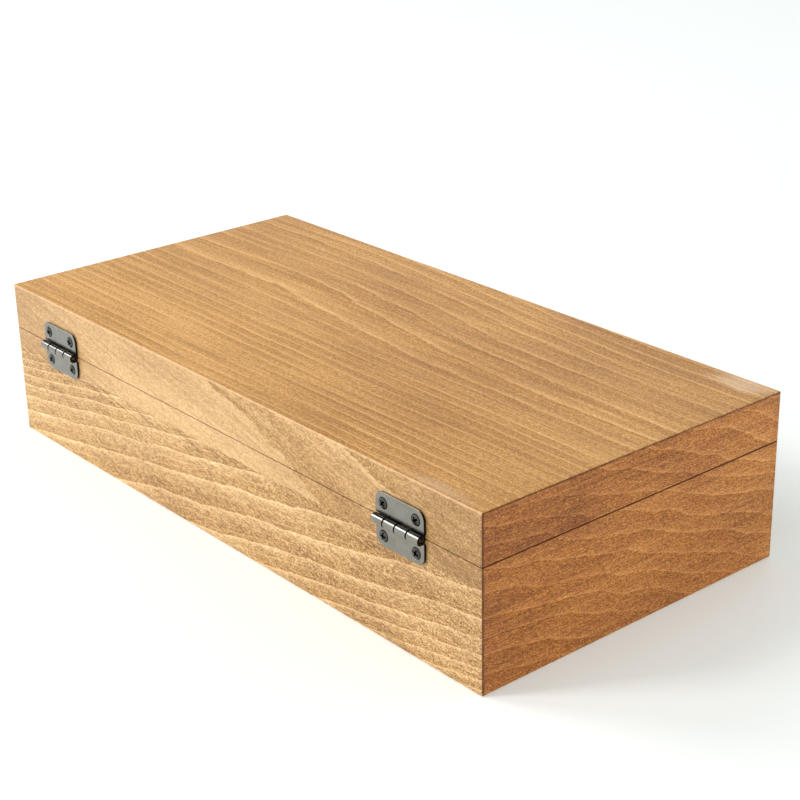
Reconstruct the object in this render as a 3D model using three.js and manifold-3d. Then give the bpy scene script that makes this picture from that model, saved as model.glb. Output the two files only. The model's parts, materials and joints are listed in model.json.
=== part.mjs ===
// A shallow hinged hardwood case for a lawn game. Six mitred boards are glued into a closed box
// and the box is sawn through near the top, so the upper slice becomes the lid. Two small butt
// hinges join the halves on the long back face and a swing hook fastens them on the front.
//
// Millimetres. +X runs along the length, +Y towards the hinge side, +Z up.
// The origin is the centre of the underside.
import * as THREE from 'three';
import { mergeVertices } from 'three/addons/utils/BufferGeometryUtils.js';
import { ConvexGeometry } from 'three/addons/geometries/ConvexGeometry.js';
import { RoundedBoxGeometry } from 'three/addons/geometries/RoundedBoxGeometry.js';
import Module from 'manifold-3d';

const wasm = await Module();
wasm.setup();

// ---- Driving dimensions ----

const LENGTH = 305;
const WIDTH = 150;
const HEIGHT = 69;
const WALL = 8;
const SPLIT_Z = 48.9;          // middle of the saw cut between body and lid
const SAW_GAP = 0.3;
const RIM_CHAMFER = 0.25;      // eased edge on both sides of the saw cut
const EDGE_RADIUS = 0.8;       // eased outer arrises of the closed box
const GLUE_LINE = 0.05;        // each board stops this far short of the mitre plane
const OVERSHOOT = 1;           // cutting solids run this far past what they cut

const HINGE_PLACES = [['left', -112.2], ['right', 113.4]];   // hinge centres along X
const LEAF_WIDTH = 25.5;
const LEAF_REACH = 10.4;       // pin axis to the outer edge of a leaf
const LEAF_THICKNESS = 1;
const LEAF_CORNER = 3.7;
const LEAF_STANDOFF = 0.05;    // running gap between a plate and the wood under it
const BARREL_LENGTH = 24.8;
const BARREL_RADIUS = 1.9;
const EYE_RADIUS = BARREL_RADIUS - LEAF_THICKNESS;
const PIN_RADIUS = EYE_RADIUS - 0.07;
const PIN_LENGTH = BARREL_LENGTH - 0.6;
const PIN_NOSE = 0.25;         // rounding at the ends of the pin
const KNUCKLES = 4;
const KNUCKLE_GAP = 0.5;
const KNUCKLE_CLEARANCE = 0.12;
const CURL_END_DEG = 115;      // where the rolled eye stops, measured from +Y towards +Z
const HINGE_SCREW_X = 8.6;     // screw positions from the hinge centre and from the pin axis
const HINGE_SCREW_REACH = 6.3;

// Screws. `dome` is how far a raised head swells out, and `sunk` how deep its rim lies in the plate.
const HINGE_SCREW = {
  headRadius: 2.3, rimHeight: 0.12, dome: 0.62, sunk: 0.02,
  coreRadius: 0.9, crestRadius: 1.2, length: 7.2, threads: 3,
};
const LATCH_SCREW = {
  headRadius: 1.6, rimHeight: 0.1, dome: 0, sunk: 0.12,
  coreRadius: 0.65, crestRadius: 0.9, length: 6, threads: 3,
};
const SCREW_CLEARANCE = 0.06;
const SCREW_NECK = 0.5;        // plain shank between the head and the first thread
const SCREW_POINT = 1.2;
const THREAD_CREST = 0.4;      // where a thread's crest stands between two roots, over the pitch
const RECESS = { long: 0.66, short: 0.18, depth: 0.4, taper: 0.55 };   // cross recess over head radius
const RECESS_OVERRUN = 0.1;    // how far the recess cutter rises past the head
const SCREW_CLOCK = 1.9;       // radians from one screw's cross to the next, so that no two line up
const SCREW_SEGMENTS = 20;
const DOME_STEPS = 3;
const POST_SEGMENTS = 28;
const CORNER_STEPS = 3;        // half the facets of a rounded plate corner
const DISC_STEPS = 14;         // half the facets of a round disc or hole
const CURL_STEPS = 28;

const LATCH_PIVOT_Z = SPLIT_Z - 9;
const LATCH_STUD_Z = SPLIT_Z + 8;
const LATCH_PLATE = { length: 20, height: 8, thickness: 0.8, corner: 2, screwX: 7.2 };
const HOOK_REACH = LATCH_STUD_Z - LATCH_PIVOT_Z;
const HOOK_THICKNESS = 1.2;
const HOOK_ARM_WIDTH = 3;
const HOOK_EYE_RADIUS = 3.3;
const HOOK_END_RADIUS = 3.2;
const THUMB_TAB_RADIUS = 1.7;
const THUMB_TAB_SIDE = HOOK_END_RADIUS + 1.2;   // tab centre beside and below the hook's end
const THUMB_TAB_DROP = 1.2;
const HOOK_SLOT_DEG = 16;      // how far the open side of the slot runs round the pivot
const HOOK_SIDE_GAP = 0.1;     // hook to plate, and hook to rivet head
const RIVET_RADIUS = 1.2;
const RIVET_HEAD_RADIUS = 2.4;
const STUD_RADIUS = 1.3;
const STUD_HEAD_RADIUS = 2.1;
const HEAD_HEIGHT = 0.8;
const HEAD_RIM = 0.45;         // upright rim of a post's head, over the head's height
const HEAD_SHOULDER = { radius: 0.8, height: 0.85 };   // where its dome bends, over the head's size
const RIVET_CLEARANCE = 0.07;
const STUD_CLEARANCE = 0.15;

// ---- Derived places ----

// Lower edge of a leaf plate: its front corner just clears the other leaf's barrel as it swings.
const LEAF_INNER = Math.sqrt((BARREL_RADIUS + KNUCKLE_CLEARANCE) ** 2 - EYE_RADIUS ** 2);
const BACK_Y = WIDTH / 2;
const HINGE_AXIS_Y = BACK_Y + LEAF_STANDOFF + BARREL_RADIUS;
const LEAF_FACE_Y = BACK_Y + LEAF_STANDOFF + LEAF_THICKNESS;
const PLATE_FACE = LEAF_STANDOFF + LATCH_PLATE.thickness;   // heights above the front face
const HOOK_BACK = PLATE_FACE + HOOK_SIDE_GAP;
const HOOK_FRONT = HOOK_BACK + HOOK_THICKNESS;
const HOOK_SLOT_RADIUS = STUD_RADIUS + STUD_CLEARANCE;

const X_AXIS = new THREE.Vector3(1, 0, 0);
const Y_AXIS = new THREE.Vector3(0, 1, 0);
const Z_AXIS = new THREE.Vector3(0, 0, 1);

// ---- Materials ----

const stainedWood = () => new THREE.MeshStandardMaterial({ color: 0xc98f56, roughness: 0.55, metalness: 0 });
const pewter = () => new THREE.MeshStandardMaterial({ color: 0x8b8a82, roughness: 0.38, metalness: 0.9 });
const screwSteel = () => new THREE.MeshStandardMaterial({ color: 0x77776f, roughness: 0.42, metalness: 0.9 });

// ---- Solids ----

/** A closed three.js geometry as a manifold solid. */
function solid(geometry) {
  const bare = geometry.clone();
  bare.deleteAttribute('normal');
  bare.deleteAttribute('uv');
  const merged = mergeVertices(bare, 1e-4);
  const corners = [];
  for (let i = 0; i < merged.index.count; i += 3) {
    const [a, b, c] = [0, 1, 2].map((k) => merged.index.getX(i + k));
    if (a !== b && b !== c && c !== a) corners.push(a, b, c);
  }
  return new wasm.Manifold(new wasm.Mesh({
    numProp: 3,
    vertProperties: Float32Array.from(merged.attributes.position.array),
    triVerts: Uint32Array.from(corners),
  }));
}

function geometryOf(manifold) {
  const mesh = manifold.getMesh();
  const geometry = new THREE.BufferGeometry();
  geometry.setAttribute('position', new THREE.BufferAttribute(mesh.vertProperties, 3));
  geometry.setIndex(new THREE.BufferAttribute(mesh.triVerts, 1));
  geometry.computeVertexNormals();
  return geometry;
}

function named(name, geometry, material) {
  const mesh = new THREE.Mesh(geometry, material);
  mesh.name = name;
  return mesh;
}

const joined = (solids) => solids.reduce((sum, next) => sum.add(next));
const cut = (body, tools) => tools.reduce((rest, tool) => rest.subtract(tool), body);

/** An outline in the plane of `right` and `up`, extruded by `depth` along right x up. */
function slab(outline, depth, right, up, origin, curveSegments = CORNER_STEPS) {
  const geometry = new THREE.ExtrudeGeometry(outline, { depth, bevelEnabled: false, curveSegments });
  const basis = new THREE.Matrix4().makeBasis(right, up, right.clone().cross(up));
  geometry.applyMatrix4(basis.setPosition(origin));
  return geometry;
}

/** A turned piece whose axis is Y; `points` are [radius, y] pairs from axis to axis. */
function turned(points, segments) {
  return new THREE.LatheGeometry(points.map(([r, y]) => new THREE.Vector2(r, y)), segments);
}

function rectangle(halfLength, halfWidth, z) {
  return [-1, 1].flatMap((sx) => [-1, 1].map((sy) => new THREE.Vector3(sx * halfLength, sy * halfWidth, z)));
}

// ---- The mitred boards ----

const BOX_CENTRE = new THREE.Vector3(0, 0, HEIGHT / 2);
const HALF = new THREE.Vector3(LENGTH / 2, WIDTH / 2, HEIGHT / 2);

const closedBox = solid(
  new RoundedBoxGeometry(LENGTH, WIDTH, HEIGHT, 2, EDGE_RADIUS).translate(0, 0, HEIGHT / 2));

/** The part of the wall thickness that one board fills, bounded by the mitre planes. */
function mitreWedge(axis, side) {
  const others = ['x', 'y', 'z'].filter((name) => name !== axis);
  const points = [];
  for (const depth of [-OVERSHOOT, WALL]) {
    for (const a of [-1, 1]) {
      for (const b of [-1, 1]) {
        const point = new THREE.Vector3();
        point[axis] = side * (HALF[axis] - depth);
        point[others[0]] = a * (HALF[others[0]] - depth - GLUE_LINE);
        point[others[1]] = b * (HALF[others[1]] - depth - GLUE_LINE);
        points.push(point.add(BOX_CENTRE));
      }
    }
  }
  return solid(new ConvexGeometry(points));
}

/** Everything on one side of the saw cut, with the outer edge of the rim eased. */
function sawnHalf(direction) {
  const rimZ = SPLIT_Z + direction * SAW_GAP / 2;
  const rim = rectangle(HALF.x - RIM_CHAMFER, HALF.y - RIM_CHAMFER, rimZ);
  const shoulder = rectangle(HALF.x + OVERSHOOT, HALF.y + OVERSHOOT,
    rimZ + direction * (RIM_CHAMFER + OVERSHOOT));
  const far = rectangle(HALF.x + OVERSHOOT, HALF.y + OVERSHOOT, SPLIT_Z + direction * HEIGHT);
  return solid(new ConvexGeometry([...rim, ...shoulder, ...far]));
}

const bodyHalf = sawnHalf(-1);
const lidHalf = sawnHalf(1);

function board(name, axis, side, half, holes = []) {
  const wood = closedBox.intersect(mitreWedge(axis, side)).intersect(half);
  return named(name, geometryOf(cut(wood, holes)), stainedWood());
}

// ---- Screws ----

/** Points of a raised head from its rim to its middle: a shallow spherical cap. */
function domePoints({ headRadius, dome, sunk }) {
  if (dome === 0) return [[0, -sunk]];
  const sphere = (headRadius ** 2 + dome ** 2) / (2 * dome);
  return Array.from({ length: DOME_STEPS }, (_, i) => {
    const radius = headRadius * (1 - (i + 1) / DOME_STEPS);
    return [radius, -sunk + dome - sphere + Math.sqrt(sphere ** 2 - radius ** 2)];
  });
}

/** Outline of a countersunk wood screw along -Y, whose head meets the plate face at y = 0. */
function screwProfile(size) {
  const { headRadius, rimHeight, sunk, coreRadius, crestRadius, length, threads } = size;
  const rimY = -sunk - rimHeight;
  const neckY = rimY - (headRadius - coreRadius);
  const threadTop = neckY - SCREW_NECK;
  const tipY = -length + SCREW_POINT;
  const pitch = (threadTop - tipY) / threads;
  const ridges = Array.from({ length: threads }, (_, i) => threadTop - i * pitch);
  return [
    [0, -length], [coreRadius, tipY],
    ...ridges.reverse().flatMap((y) => [[crestRadius, y - pitch * THREAD_CREST], [coreRadius, y]]),
    [coreRadius, neckY], [headRadius, rimY], [headRadius, -sunk], ...domePoints(size),
  ];
}

/** The countersunk hole for that screw, open above y = 0. */
function holeProfile({ headRadius, rimHeight, crestRadius, length, sunk }) {
  const above = 0.5;
  const [shank, rim] = [crestRadius + SCREW_CLEARANCE, headRadius + SCREW_CLEARANCE];
  const rimY = -sunk - rimHeight;
  return [
    [0, -length - SCREW_CLEARANCE], [shank, -length - SCREW_CLEARANCE],
    [shank, rimY - (rim - shank)], [rim, rimY], [rim, -sunk],
    [rim + sunk + above, above], [0, above],
  ];
}

/** Cross recess: two tapered blades, turned `clock` radians about the screw's axis. */
function crossRecess({ headRadius, dome, sunk }, clock) {
  const wide = { long: headRadius * RECESS.long, short: headRadius * RECESS.short, y: dome + RECESS_OVERRUN };
  const deep = { ...wide, y: -sunk - headRadius * RECESS.depth };
  deep.long *= RECESS.taper;
  deep.short *= RECESS.taper;
  const ring = ({ long, short, y }, turn) => rectangle(long, short, 0).map((corner) =>
    new THREE.Vector3(corner.x, y, corner.y).applyAxisAngle(Y_AXIS, turn));
  const blade = (turn) => solid(new ConvexGeometry([...ring(wide, turn), ...ring(deep, turn)]));
  return joined([blade(clock), blade(clock + Math.PI / 2)]);
}

/** Turns and moves a piece made along -Y to its place; side -1 faces it to the front. */
function placed(geometry, x, y, z, side = 1) {
  if (side < 0) geometry.rotateZ(Math.PI);
  return geometry.translate(x, y, z);
}

function screw(name, size, x, y, z, clock, side = 1) {
  const shank = solid(turned(screwProfile(size), SCREW_SEGMENTS));
  return named(name, placed(geometryOf(shank.subtract(crossRecess(size, clock))), x, y, z, side),
    screwSteel());
}

const screwHole = (size, x, y, z, side = 1) =>
  solid(placed(turned(holeProfile(size), SCREW_SEGMENTS), x, y, z, side));

// ---- Butt hinges ----

/** The rolled eye with its tongue: a sheet that leaves the leaf and curls round the pin. */
function knuckleOutline(up) {
  const start = Math.PI;
  const end = Math.PI * 2 + THREE.MathUtils.degToRad(CURL_END_DEG);
  const tongueTop = LEAF_INNER + LEAF_THICKNESS / 2;
  const arc = (radius, from, to) => Array.from({ length: CURL_STEPS + 1 }, (_, i) => {
    const angle = from + (to - from) * i / CURL_STEPS;
    return new THREE.Vector2(radius * Math.cos(angle), up * radius * Math.sin(angle));
  });
  const points = [
    new THREE.Vector2(-BARREL_RADIUS, up * tongueTop),
    ...arc(BARREL_RADIUS, start, end),
    ...arc(EYE_RADIUS, end, start),
    new THREE.Vector2(-EYE_RADIUS, up * tongueTop),
  ];
  return new THREE.Shape(points);
}

/** Leaf plate in the X-Z plane: square at the barrel, rounded at its outer corners. */
function leafOutline(up) {
  const half = LEAF_WIDTH / 2;
  const inner = up * LEAF_INNER;
  const outer = up * LEAF_REACH;
  const bend = outer - up * LEAF_CORNER;
  const outline = new THREE.Shape();
  outline.moveTo(-half, inner);
  outline.lineTo(half, inner);
  outline.lineTo(half, bend);
  outline.absarc(half - LEAF_CORNER, bend, LEAF_CORNER, 0, up * Math.PI / 2, up < 0);
  outline.absarc(-half + LEAF_CORNER, bend, LEAF_CORNER, up * Math.PI / 2, up * Math.PI, up < 0);
  outline.closePath();
  return outline;
}

function hingeScrewPlaces(hingeX, up) {
  return [-1, 1].map((side) => ({
    x: hingeX + side * HINGE_SCREW_X,
    z: SPLIT_Z + up * HINGE_SCREW_REACH,
  }));
}

/** One leaf: up = 1 for the lid's, -1 for the body's. The leaves' knuckles alternate. */
function hingeLeaf(name, hingeX, up) {
  const plate = solid(slab(leafOutline(up), LEAF_THICKNESS, X_AXIS, Z_AXIS,
    new THREE.Vector3(hingeX, LEAF_FACE_Y, SPLIT_Z)));
  const firstX = hingeX - BARREL_LENGTH / 2;
  const pitch = BARREL_LENGTH / KNUCKLES;
  const knuckles = [];
  for (let i = up > 0 ? 0 : 1; i < KNUCKLES; i += 2) {
    const startX = firstX + i * pitch + (i > 0 ? KNUCKLE_GAP / 2 : 0);
    const endX = firstX + (i + 1) * pitch - (i < KNUCKLES - 1 ? KNUCKLE_GAP / 2 : 0);
    knuckles.push(solid(slab(knuckleOutline(up), endX - startX, Y_AXIS, Z_AXIS,
      new THREE.Vector3(startX, HINGE_AXIS_Y, SPLIT_Z))));
  }
  const holes = hingeScrewPlaces(hingeX, up).map(({ x, z }) => screwHole(HINGE_SCREW, x, LEAF_FACE_Y, z));
  return named(name, geometryOf(cut(joined([plate, ...knuckles]), holes)), pewter());
}

/** Pin with a slightly rounded end, lying along X. */
function hingePin(name, hingeX) {
  const half = PIN_LENGTH / 2;
  const geometry = turned([
    [0, -half], [PIN_RADIUS - PIN_NOSE, -half], [PIN_RADIUS, -half + PIN_NOSE],
    [PIN_RADIUS, half - PIN_NOSE], [PIN_RADIUS - PIN_NOSE, half], [0, half]], POST_SEGMENTS);
  geometry.rotateZ(-Math.PI / 2).translate(hingeX, HINGE_AXIS_Y, SPLIT_Z);
  return named(name, geometryOf(solid(geometry)), screwSteel());
}

function hinge(side, hingeX) {
  const pieces = [
    hingeLeaf(`${side}_hinge_lid_leaf`, hingeX, 1),
    hingeLeaf(`${side}_hinge_body_leaf`, hingeX, -1),
    hingePin(`${side}_hinge_pin`, hingeX),
  ];
  for (const [half, up] of [['lid', 1], ['body', -1]]) {
    hingeScrewPlaces(hingeX, up).forEach(({ x, z }, i) => {
      const clock = SCREW_CLOCK * (pieces.length + Math.sign(hingeX) / 4);
      pieces.push(screw(`${side}_hinge_${half}_screw_${i + 1}`, HINGE_SCREW, x, LEAF_FACE_Y, z, clock));
    });
  }
  return pieces;
}

// ---- Swing hook latch ----

const frontY = (height) => -BACK_Y - height;

function plateOutline({ length, height, corner }) {
  const [halfL, halfH] = [length / 2 - corner, height / 2 - corner];
  const outline = new THREE.Shape();
  outline.absarc(halfL, halfH, corner, 0, Math.PI / 2, false);
  outline.absarc(-halfL, halfH, corner, Math.PI / 2, Math.PI, false);
  outline.absarc(-halfL, -halfH, corner, Math.PI, Math.PI * 1.5, false);
  outline.absarc(halfL, -halfH, corner, Math.PI * 1.5, Math.PI * 2, false);
  return outline;
}

/** An outline in X and Z extruded forwards from `height` above the front face. */
function frontPiece(outline, height, thickness, curveSegments) {
  const origin = new THREE.Vector3(0, frontY(height), 0);
  return solid(slab(outline, thickness, X_AXIS, Z_AXIS, origin, curveSegments));
}

function disc(radius, x, z, height, thickness) {
  const outline = new THREE.Shape();
  outline.absarc(x, z, radius, 0, Math.PI * 2, false);
  return frontPiece(outline, height, thickness, DISC_STEPS);
}

const latchScrewXs = [-LATCH_PLATE.screwX, LATCH_PLATE.screwX];

/** Plate on the front face with a central hole for the rivet or stud and two screw holes. */
function latchPlate(name, z, postRadius) {
  const plate = solid(slab(plateOutline(LATCH_PLATE), LATCH_PLATE.thickness, X_AXIS, Z_AXIS,
    new THREE.Vector3(0, frontY(LEAF_STANDOFF), z)));
  const centreHole = disc(postRadius + RIVET_CLEARANCE, 0, z, -OVERSHOOT, PLATE_FACE + 2 * OVERSHOOT);
  const screwHoles = latchScrewXs.map((x) => screwHole(LATCH_SCREW, x, frontY(PLATE_FACE), z, -1));
  return named(name, geometryOf(cut(plate, [centreHole, ...screwHoles])), pewter());
}

/** Headed post standing on the front face: a shank of `radius` and a low domed head. */
function headedPost(name, z, radius, headRadius, headBase) {
  const crown = headBase + HEAD_HEIGHT;
  const geometry = turned([
    [0, LEAF_STANDOFF], [radius, LEAF_STANDOFF], [radius, headBase], [headRadius, headBase],
    [headRadius, headBase + HEAD_HEIGHT * HEAD_RIM],
    [headRadius * HEAD_SHOULDER.radius, headBase + HEAD_HEIGHT * HEAD_SHOULDER.height],
    [0, crown]], POST_SEGMENTS);
  return named(name, geometryOf(solid(placed(geometry, 0, frontY(0), z, -1))), screwSteel());
}

/** Hook hanging from its rivet, with the open side of its slot towards +X. */
function latchHook() {
  const endZ = LATCH_PIVOT_Z - HOOK_REACH;
  const halfArm = HOOK_ARM_WIDTH / 2;
  const arm = new THREE.Shape([
    new THREE.Vector2(-halfArm, endZ), new THREE.Vector2(halfArm, endZ),
    new THREE.Vector2(halfArm, LATCH_PIVOT_Z), new THREE.Vector2(-halfArm, LATCH_PIVOT_Z)]);
  const [down, slotEnd] = [-Math.PI / 2, -Math.PI / 2 + THREE.MathUtils.degToRad(HOOK_SLOT_DEG)];
  const slot = new THREE.Shape();
  slot.absarc(0, LATCH_PIVOT_Z, HOOK_REACH + HOOK_SLOT_RADIUS, down, slotEnd, false);
  slot.absarc(0, LATCH_PIVOT_Z, HOOK_REACH - HOOK_SLOT_RADIUS, slotEnd, down, true);
  const metal = joined([
    frontPiece(arm, HOOK_BACK, HOOK_THICKNESS),
    disc(HOOK_EYE_RADIUS, 0, LATCH_PIVOT_Z, HOOK_BACK, HOOK_THICKNESS),
    disc(HOOK_END_RADIUS, 0, endZ, HOOK_BACK, HOOK_THICKNESS),
    disc(THUMB_TAB_RADIUS, -THUMB_TAB_SIDE, endZ - THUMB_TAB_DROP, HOOK_BACK, HOOK_THICKNESS),
  ]);
  const through = [HOOK_BACK - OVERSHOOT, HOOK_THICKNESS + 2 * OVERSHOOT];
  const cutters = [
    disc(RIVET_RADIUS + RIVET_CLEARANCE, 0, LATCH_PIVOT_Z, ...through),
    disc(HOOK_SLOT_RADIUS, 0, endZ, ...through),
    frontPiece(slot, ...through),
  ];
  return named('latch_hook', geometryOf(cut(metal, cutters)), pewter());
}

function latch() {
  const pieces = [
    latchPlate('hook_plate', LATCH_PIVOT_Z, RIVET_RADIUS),
    latchPlate('catch_plate', LATCH_STUD_Z, STUD_RADIUS),
    headedPost('hook_rivet', LATCH_PIVOT_Z, RIVET_RADIUS, RIVET_HEAD_RADIUS, HOOK_FRONT + HOOK_SIDE_GAP),
    headedPost('catch_stud', LATCH_STUD_Z, STUD_RADIUS, STUD_HEAD_RADIUS, HOOK_FRONT + HOOK_SIDE_GAP),
    latchHook(),
  ];
  for (const [plate, z] of [['hook_plate', LATCH_PIVOT_Z], ['catch_plate', LATCH_STUD_Z]]) {
    latchScrewXs.forEach((x, i) => {
      const clock = SCREW_CLOCK * pieces.length;
      pieces.push(screw(`${plate}_screw_${i + 1}`, LATCH_SCREW, x, frontY(PLATE_FACE), z, clock, -1));
    });
  }
  return pieces;
}

// ---- Assembly ----

const hingeHoles = (up) => HINGE_PLACES.flatMap(([, hingeX]) =>
  hingeScrewPlaces(hingeX, up).map(({ x, z }) => screwHole(HINGE_SCREW, x, LEAF_FACE_Y, z)));

const latchHoles = (z) => latchScrewXs.map((x) => screwHole(LATCH_SCREW, x, frontY(PLATE_FACE), z, -1));

const body = new THREE.Group();
body.add(
  board('body_back_wall', 'y', 1, bodyHalf, hingeHoles(-1)),
  board('body_front_wall', 'y', -1, bodyHalf, latchHoles(LATCH_PIVOT_Z)),
  board('body_left_wall', 'x', -1, bodyHalf),
  board('body_right_wall', 'x', 1, bodyHalf),
  board('bottom_panel', 'z', -1, bodyHalf));

const lid = new THREE.Group();
lid.add(
  board('lid_back_rail', 'y', 1, lidHalf, hingeHoles(1)),
  board('lid_front_rail', 'y', -1, lidHalf, latchHoles(LATCH_STUD_Z)),
  board('lid_left_rail', 'x', -1, lidHalf),
  board('lid_right_rail', 'x', 1, lidHalf),
  board('lid_top_panel', 'z', 1, lidHalf));

const hardware = new THREE.Group();
hardware.add(...HINGE_PLACES.flatMap(([side, hingeX]) => hinge(side, hingeX)), ...latch());

const gameCase = new THREE.Group();
gameCase.add(body, lid, hardware);

export default gameCase;
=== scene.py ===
import json
import math

import bmesh
import bpy
from mathutils import Matrix, Vector


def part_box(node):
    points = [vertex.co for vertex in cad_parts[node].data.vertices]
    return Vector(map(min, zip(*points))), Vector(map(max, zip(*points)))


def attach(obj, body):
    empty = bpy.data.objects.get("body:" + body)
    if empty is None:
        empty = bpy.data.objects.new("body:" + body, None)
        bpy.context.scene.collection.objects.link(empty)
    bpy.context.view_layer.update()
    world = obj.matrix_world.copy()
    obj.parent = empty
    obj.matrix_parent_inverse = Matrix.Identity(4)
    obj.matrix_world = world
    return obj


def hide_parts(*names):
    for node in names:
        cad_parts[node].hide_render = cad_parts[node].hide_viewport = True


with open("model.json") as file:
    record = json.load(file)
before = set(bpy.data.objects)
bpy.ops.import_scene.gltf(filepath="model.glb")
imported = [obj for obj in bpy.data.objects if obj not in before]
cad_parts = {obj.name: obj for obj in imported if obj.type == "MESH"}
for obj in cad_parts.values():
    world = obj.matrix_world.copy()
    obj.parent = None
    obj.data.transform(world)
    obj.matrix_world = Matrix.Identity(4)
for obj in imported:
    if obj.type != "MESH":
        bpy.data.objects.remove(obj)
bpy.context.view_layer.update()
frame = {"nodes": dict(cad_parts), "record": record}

# A stained hardwood game case: a mitred box with a sawn-off lid, two butt hinges and a swing hook.
# Lengths are in metres unless a name ends in _MM. The shaders measure the object's own coordinates
# in millimetres, so the figure of the wood stays on its board in every pose.

MM = 0.001
AXIS_X, AXIS_Y, AXIS_Z = 0, 1, 2

# ---- Case, from the frame ----

LEFT_LOW, LEFT_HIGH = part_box("body_left_wall")
RIGHT_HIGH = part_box("body_right_wall")[1]
FRONT_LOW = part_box("body_front_wall")[0]
BACK_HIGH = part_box("body_back_wall")[1]
BOTTOM_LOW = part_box("bottom_panel")[0]
TOP_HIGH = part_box("lid_top_panel")[1]
CASE_LOW = Vector((LEFT_LOW.x, FRONT_LOW.y, BOTTOM_LOW.z))
CASE_HIGH = Vector((RIGHT_HIGH.x, BACK_HIGH.y, TOP_HIGH.z))
WALL = LEFT_HIGH.x - LEFT_LOW.x
BODY_RIM_Z = BACK_HIGH.z
LID_RIM_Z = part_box("lid_back_rail")[0].z

END_X_MM = (CASE_HIGH.x - CASE_LOW.x) / 2 / MM
SIDE_Y_MM = (CASE_HIGH.y - CASE_LOW.y) / 2 / MM
HEIGHT_MM = (CASE_HIGH.z - CASE_LOW.z) / MM
SPLIT_MM = (BODY_RIM_Z + LID_RIM_Z) / 2 / MM

# ---- Edges of the boards ----

ARRIS_RADIUS = 0.9 * MM        # round along the outer edges of the case
RIM_RADIUS = 0.3 * MM          # round along the saw cut
ARRIS_STEPS = 6
RIM_STEPS = 5
ROUND_CROWDING = 1.7           # above 1, the rows of a round lie closer together near the flat face
GLUE_GAP = 0.05 * MM           # how far a board stands back from each mitre
GROOVE = 0.07 * MM             # open V along each glue line
SHARP = math.radians(38)       # edges from this angle up stay crisp
FACE_WEIGHT = 100              # large faces decide the normals they share with small ones

# ---- Hinges, hook and screws ----

BARREL_MM = 24.8               # length of a hinge's barrel
BARREL_RADIUS_MM = 1.9
KNUCKLES = 4
HEAD_DOME_MM = 0.62            # rise of a hinge screw's domed head
HEAD_MARGIN = 0.4 * MM         # plate round a screw head whose edges aren't eased
PLATE_EASE = 0.2 * MM
TURNED_EASE = 0.06 * MM
SCREW_EASE = 0.05 * MM
EASE_SEGMENTS = 3
WELD = 0.002 * MM              # vertices closer than this are one
FLAT = math.radians(1.5)       # facets that meet flatter than this are one face
EASED_FROM = math.radians(30)  # edges sharper than this are eased

# ---- Colours of the wood and metal, light one first ----

HINGE_SIDE_COLOURS = (0.75, 0.483, 0.230), (0.43, 0.226, 0.067)
FRONT_COLOURS = (0.74, 0.45, 0.205), (0.42, 0.21, 0.067)
# the left end is darker and redder than the right: partly its own tint, partly painted shade
LEFT_END_SHADED_COLOURS = (0.565, 0.224, 0.050), (0.36, 0.108, 0.006)
RIGHT_END_COLOURS = (0.69, 0.37, 0.135), (0.41, 0.19, 0.055)
PANEL_COLOURS = (0.80, 0.450, 0.158), (0.54, 0.252, 0.045)
GATHERED_STAIN = (0.125, 0.028, 0.004)
# pale arris line: partly wear, partly a painted highlight where the round catches the light
WORN_EDGE_HIGHLIGHT = (0.80, 0.52, 0.27)
# painted sheen on the lid top
PAINTED_SHEEN = (0.86, 0.65, 0.44)
PEWTER = (0.268, 0.258, 0.231), (0.237, 0.228, 0.204)
PIN_STEEL = (0.04, 0.037, 0.034), (0.025, 0.023, 0.021)
PIN_END = (0.10, 0.08, 0.07)
SCREW_STEEL = (0.10, 0.10, 0.094), (0.065, 0.065, 0.06)
# painted shade on the faces of plates and screws that point along X
END_SHADE = (0.010, 0.009, 0.008)
GRIT = (0.03, 0.028, 0.025)
# nearly black painted shade for hinge seams, barrel tops and screw recesses
SHADE_BLACK = (0.002, 0.002, 0.002)

# ---- Camera, floor and light ----

CAMERA_PLACE = Vector((-0.53714, 0.42632, 0.32954))
CAMERA_AZIMUTH = 230.39
CAMERA_ELEVATION = 22.96
CAMERA_ROLL = -1.21
CAMERA_LENS = 81.5
CAMERA_CLIP_START = 0.01
SENSOR_WIDTH = 36.0

FLOOR_HALF = 6.0
FLOOR_PATCHES = (0.004, 0.004, 0.004)          # cycles per millimetre
FLOOR_COLOURS = (0.96, 0.965, 0.965), (0.93, 0.94, 0.945)
FLOOR_ROUGHNESS = 0.6
FLOOR_SPECULAR = 0.2
FLOOR_GLOW = (0.82, 1.10, 0.98)
FLOOR_GLOW_STRENGTH = 0.13

AREA_LIGHTS = {                # place, size, watts, colour
    "window_light": ((0.92, 1.63, 1.5), 0.5, 19.0, (1.0, 0.995, 0.985)),
    "fill_light": ((1.56, 0.85, 1.3), 0.75, 13.0, (1.0, 1.0, 1.0)),
}
LIGHT_TARGET = Vector((0, 0, 0.03))
ROOM_STRENGTH, OVERHEAD_STRENGTH, FLAG_STRENGTH = 1.15, 0.6, 0.1
OVERHEAD_FROM, OVERHEAD_FULL = 0.2, 0.85       # sines of the height above the horizon
FLAG_DIRECTION = (0.69, -0.15, 0.70)
FLAG_EDGE, FLAG_CORE = 0.84, 0.95              # cosines of the angle away from its middle


def opaque(colour):
    return (*colour, 1.0)


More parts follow.
